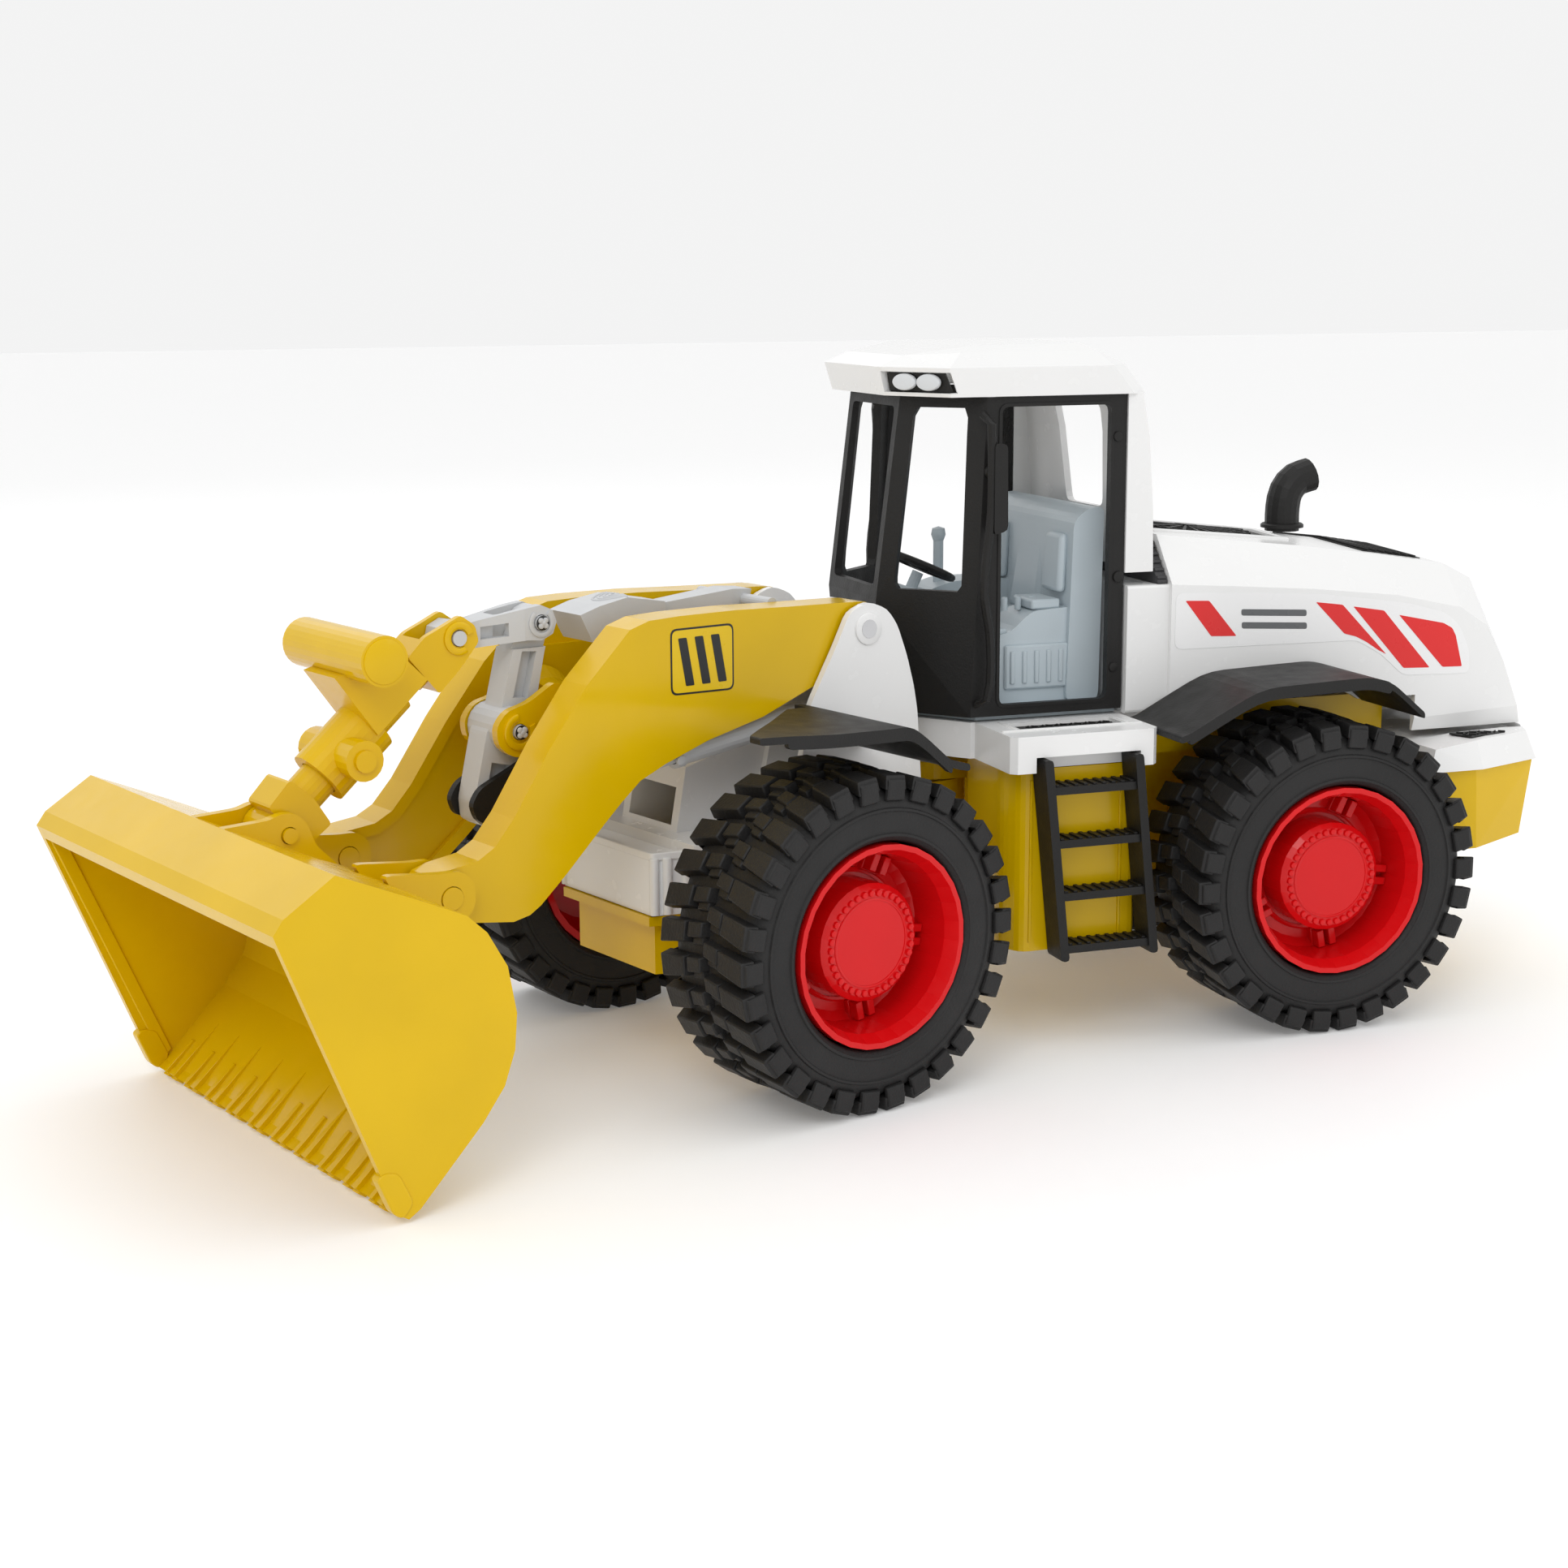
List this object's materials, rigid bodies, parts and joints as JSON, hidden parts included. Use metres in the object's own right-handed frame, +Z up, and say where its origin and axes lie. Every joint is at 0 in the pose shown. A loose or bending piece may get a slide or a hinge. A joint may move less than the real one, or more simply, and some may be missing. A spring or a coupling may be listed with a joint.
{
  "type": "toy wheel loader",
  "caption": "Toy articulated wheel loader with a lifting boom, tilting bucket worked by a rocker and grip, turning chunky wheels and an open cab",
  "frame": {"origin": "centre of the bounding box footprint, on the floor plane", "axes": "+X from the engine towards the bucket, +Y to the driver's left, +Z up; the front half is steered 17.6 degrees to the left at rest"},
  "size_m": [0.5102, 0.2568, 0.226],
  "materials": {
    "yellow": "glossy moulded yellow",
    "white": "glossy moulded white",
    "grey": "satin light grey",
    "black": "fine matt texture",
    "tyre": "matt black",
    "red": "glossy moulded red",
    "cabin": "satin blue-grey",
    "steel": "plain drawn"
  },
  "bodies": {
    "rear_frame": {"rear_chassis": "yellow", "counterweight": "yellow", "counterweight_cover": "white", "engine_hood": "white", "hood_grille": "black", "air_intake": "black", "exhaust_pipe": "black", "rear_fender_left": "black", "rear_fender_right": "black", "cab_deck": "white", "ladder_left": "black", "ladder_right": "black", "cab_frame": "black", "cab_shell": "white", "roof_light_left": "black", "roof_light_right": "black", "cab_interior": "cabin", "handrail_left": "black", "handrail_right": "black", "steering_pin": "steel", "rear_axle": "steel"},
    "steering_wheel": {"steering_wheel": "black"},
    "front_frame": {"front_chassis": "yellow", "front_tower": "white", "front_fender_left": "black", "front_fender_right": "black", "front_axle": "steel", "boom_pin": "steel"},
    "boom": {"boom_arm_left": "yellow", "boom_arm_right": "yellow", "boom_cross_member": "yellow", "rocker_pin": "grey", "rocker_latch": "black"},
    "lever": {"boom_lever": "grey"},
    "lift_barrel_left": {"lift_barrel_left": "grey"},
    "lift_barrel_right": {"lift_barrel_right": "grey"},
    "lift_rod_left": {"lift_rod_left": "grey"},
    "lift_rod_right": {"lift_rod_right": "grey"},
    "bucket": {"bucket": "yellow", "bucket_pin_left": "yellow", "bucket_pin_right": "yellow", "tilt_pin": "yellow"},
    "rocker": {"rocker": "grey", "link_pin_rear": "grey"},
    "link": {"link": "grey"},
    "tilt_tube": {"tilt_tube": "yellow"},
    "tilt_grip": {"tilt_grip": "yellow", "link_pin_front": "grey"},
    "wheel_front_left": {"tyre_front_left": "tyre", "rim_front_left": "red", "hub_cap_front_left": "red"},
    "wheel_front_right": {"tyre_front_right": "tyre", "rim_front_right": "red", "hub_cap_front_right": "red"},
    "wheel_rear_left": {"tyre_rear_left": "tyre", "rim_rear_left": "red", "hub_cap_rear_left": "red"},
    "wheel_rear_right": {"tyre_rear_right": "tyre", "rim_rear_right": "red", "hub_cap_rear_right": "red"}
  },
  "joints": [
    {"name": "steer", "type": "hinge", "parent": "rear_frame", "child": "front_frame", "pos_m": [-0.04155, -0.03636, 0.062], "axis": [0, 0, 1], "range_deg": [-47.5, 12.4]},
    {"name": "boom_lift", "type": "hinge", "parent": "front_frame", "child": "boom", "pos_m": [0.01088, -0.01975, 0.138], "axis": [-0.302, 0.9533, 0], "range_deg": [-44, 0]},
    {"name": "bucket_tilt", "type": "hinge", "parent": "boom", "child": "bucket", "pos_m": [0.15959, 0.02737, 0.0753], "axis": [-0.302, 0.9533, 0], "range_deg": [-44, 15]},
    {"name": "rocker_swing", "type": "hinge", "parent": "boom", "child": "rocker", "pos_m": [0.11974, 0.01474, 0.1142], "axis": [-0.302, 0.9533, 0], "range_deg": [-34.4, 12]},
    {"name": "link_swing", "type": "hinge", "parent": "rocker", "child": "link", "pos_m": [0.10926, 0.01142, 0.1458], "axis": [-0.302, 0.9533, 0], "range_deg": [-17.7, 6.2]},
    {"name": "tilt_tube_swing", "type": "hinge", "parent": "bucket", "child": "tilt_tube", "pos_m": [0.19258, 0.03782, 0.093], "axis": [-0.302, 0.9533, 0], "range_deg": [-13.5, 38.8]},
    {"name": "tilt_grip_slide", "type": "slide", "parent": "tilt_tube", "child": "tilt_grip", "axis": [-0.7225, -0.2289, 0.6524], "range_m": [-0.0026, 0.0009]},
    {"name": "lever_lift", "type": "hinge", "parent": "boom", "child": "lever", "pos_m": [0.03566, -0.0119, 0.1464], "axis": [-0.302, 0.9533, 0], "range_deg": [-15.8, 5.6]},
    {"name": "steering_wheel_turn", "type": "hinge", "parent": "rear_frame", "child": "steering_wheel", "pos_m": [-0.03855, -0.03636, 0.151], "axis": [-0.4067, 0, 0.9135], "continuous": true},
    {"name": "lift_barrel_left_swing", "type": "hinge", "parent": "front_frame", "child": "lift_barrel_left", "pos_m": [0.00797, 0.00599, 0.113], "axis": [-0.302, 0.9533, 0], "range_deg": [-44.5, 0.5]},
    {"name": "lift_rod_left_slide", "type": "slide", "parent": "lift_barrel_left", "child": "lift_rod_left", "axis": [0.9319, 0.3399, -0.1268], "range_m": [-0.0005, 0.0196]},
    {"name": "wheel_front_left_roll", "type": "hinge", "parent": "front_frame", "child": "wheel_front_left", "pos_m": [0.02644, 0.05861, 0.0519], "axis": [-0.302, 0.9533, 0], "continuous": true},
    {"name": "wheel_rear_left_roll", "type": "hinge", "parent": "rear_frame", "child": "wheel_rear_left", "pos_m": [-0.15075, 0.03364, 0.0519], "axis": [0, 1, 0], "continuous": true},
    {"name": "lift_barrel_right_swing", "type": "hinge", "parent": "front_frame", "child": "lift_barrel_right", "pos_m": [0.02332, -0.04247, 0.113], "axis": [-0.302, 0.9533, 0], "range_deg": [-44.5, 0.5]},
    {"name": "lift_rod_right_slide", "type": "slide", "parent": "lift_barrel_right", "child": "lift_rod_right", "axis": [0.9576, 0.2587, -0.1268], "range_m": [-0.0005, 0.0196]},
    {"name": "wheel_front_right_roll", "type": "hinge", "parent": "front_frame", "child": "wheel_front_right", "pos_m": [0.06872, -0.07485, 0.0519], "axis": [-0.302, 0.9533, 0], "continuous": true},
    {"name": "wheel_rear_right_roll", "type": "hinge", "parent": "rear_frame", "child": "wheel_rear_right", "pos_m": [-0.15075, -0.10636, 0.0519], "axis": [0, 1, 0], "continuous": true}
  ],
  "couplings": [
    {"joint": "rocker_swing", "follows": "bucket_tilt", "ratio": 0.771},
    {"joint": "link_swing", "follows": "bucket_tilt", "ratio": 0.391},
    {"joint": "tilt_tube_swing", "follows": "bucket_tilt", "ratio": -0.869},
    {"joint": "tilt_grip_slide", "follows": "bucket_tilt", "m_per_rad": 0.003265},
    {"joint": "lever_lift", "follows": "bucket_tilt", "ratio": 0.35},
    {"joint": "lift_barrel_left_swing", "follows": "boom_lift", "ratio": 1},
    {"joint": "lift_rod_left_slide", "follows": "boom_lift", "m_per_rad": -0.0249},
    {"joint": "lift_barrel_right_swing", "follows": "boom_lift", "ratio": 1},
    {"joint": "lift_rod_right_slide", "follows": "boom_lift", "m_per_rad": -0.0249}
  ]
}
